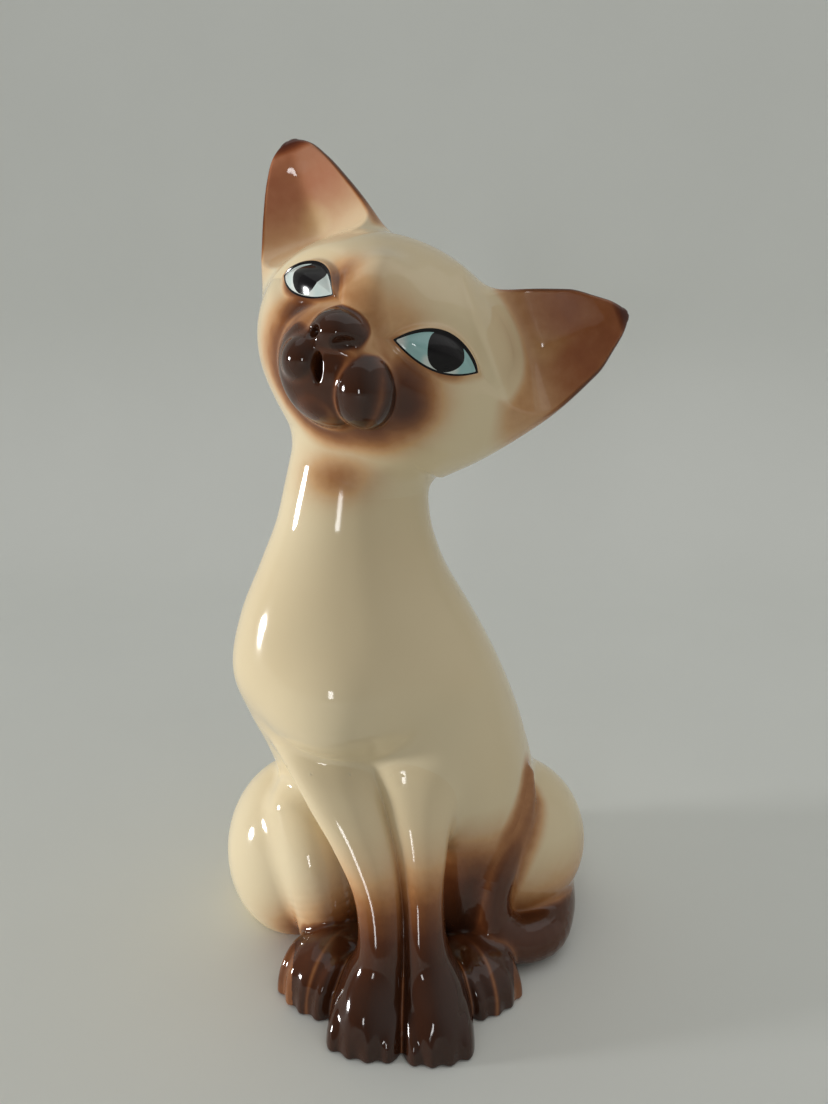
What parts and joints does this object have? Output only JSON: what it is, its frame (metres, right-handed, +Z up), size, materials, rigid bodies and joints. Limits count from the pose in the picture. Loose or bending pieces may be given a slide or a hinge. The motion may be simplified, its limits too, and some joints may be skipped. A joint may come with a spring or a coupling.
{
  "type": "ceramic cat figurine",
  "caption": "Seated glazed ceramic cat with a long neck, a tilted head, wide pointed ears and a tail curled round one haunch.",
  "frame": {"origin": "middle of the base, on the plane that the figure stands on", "axes": "+Z up from the base to the ears, the figure faces -Y, its own left side is +X"},
  "size_m": [0.0966, 0.0899, 0.1926],
  "materials": {
    "body_glaze": "cream glaze shading to brown",
    "head_glaze": "cream glaze with an airbrushed brown mask",
    "ear_glaze": "rose and brown glaze",
    "leg_glaze": "cream glaze running down to chocolate",
    "paw_glaze": "chocolate glaze",
    "tail_glaze": "chocolate glaze",
    "eye_enamel": "glossy white and pale turquoise enamel",
    "pupil_enamel": "glossy black enamel"
  },
  "bodies": {
    "root": {"body_casting": "body_glaze", "head_casting": "head_glaze", "left_ear": "ear_glaze", "right_ear": "ear_glaze", "left_foreleg": "leg_glaze", "right_foreleg": "leg_glaze", "left_hind_paw": "paw_glaze", "right_hind_paw": "paw_glaze", "tail": "tail_glaze", "left_eye_enamel": "eye_enamel", "right_eye_enamel": "eye_enamel", "left_pupil_enamel": "pupil_enamel", "right_pupil_enamel": "pupil_enamel"}
  },
  "joints": []
}
